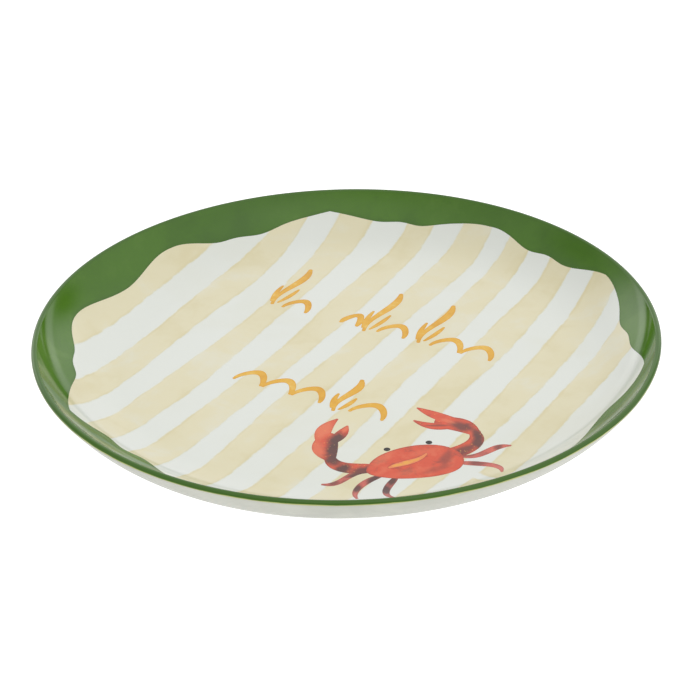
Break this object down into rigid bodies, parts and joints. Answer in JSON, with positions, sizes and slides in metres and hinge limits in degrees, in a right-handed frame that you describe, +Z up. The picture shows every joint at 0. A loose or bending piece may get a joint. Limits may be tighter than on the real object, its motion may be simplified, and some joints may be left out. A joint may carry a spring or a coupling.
{
  "type": "souvenir plate",
  "caption": "Shallow round ceramic dinner plate with a low foot ring, a green scalloped rim band and a painted picture of stripes, brush marks and a crab.",
  "frame": {"origin": "centre of the foot ring's contact plane", "axes": "+Z up along the plate's axis, +Y the top of the painted picture, +X its right"},
  "size_m": [0.27, 0.27, 0.0244],
  "materials": {
    "fired_clay": "matt, unglazed, fine grained",
    "white_glaze": "glossy, slightly warm white",
    "underside_white_glaze": "glossy, slightly warm white",
    "green_glaze": "glossy, pooled leaf green, a little thinner at the lip",
    "beige_wash": "under gloss, brushed thin wash",
    "ochre_paint": "under gloss, loaded brush",
    "crab_red_paint": "under gloss, brushed, with brown shading",
    "crab_leg_paint": "under gloss, thin brush lines",
    "eye_paint": "under gloss, black",
    "highlight_paint": "under gloss, yellow"
  },
  "bodies": {
    "root": {"clay_body": "fired_clay", "top_glaze": "white_glaze", "underside_glaze": "underside_white_glaze", "base_glaze": "underside_white_glaze", "green_rim_band": "green_glaze", "beige_stripe_1": "beige_wash", "beige_stripe_2": "beige_wash", "beige_stripe_3": "beige_wash", "beige_stripe_4": "beige_wash", "beige_stripe_5": "beige_wash", "beige_stripe_6": "beige_wash", "beige_stripe_7": "beige_wash", "beige_stripe_8": "beige_wash", "beige_stripe_9": "beige_wash", "ochre_motif_upper_left": "ochre_paint", "ochre_motif_upper_right": "ochre_paint", "ochre_motif_lower": "ochre_paint", "crab_shell": "crab_red_paint", "crab_left_claw": "crab_red_paint", "crab_right_claw": "crab_red_paint", "crab_left_legs": "crab_leg_paint", "crab_right_legs": "crab_leg_paint", "crab_eyes": "eye_paint", "crab_highlight": "highlight_paint"}
  },
  "joints": []
}
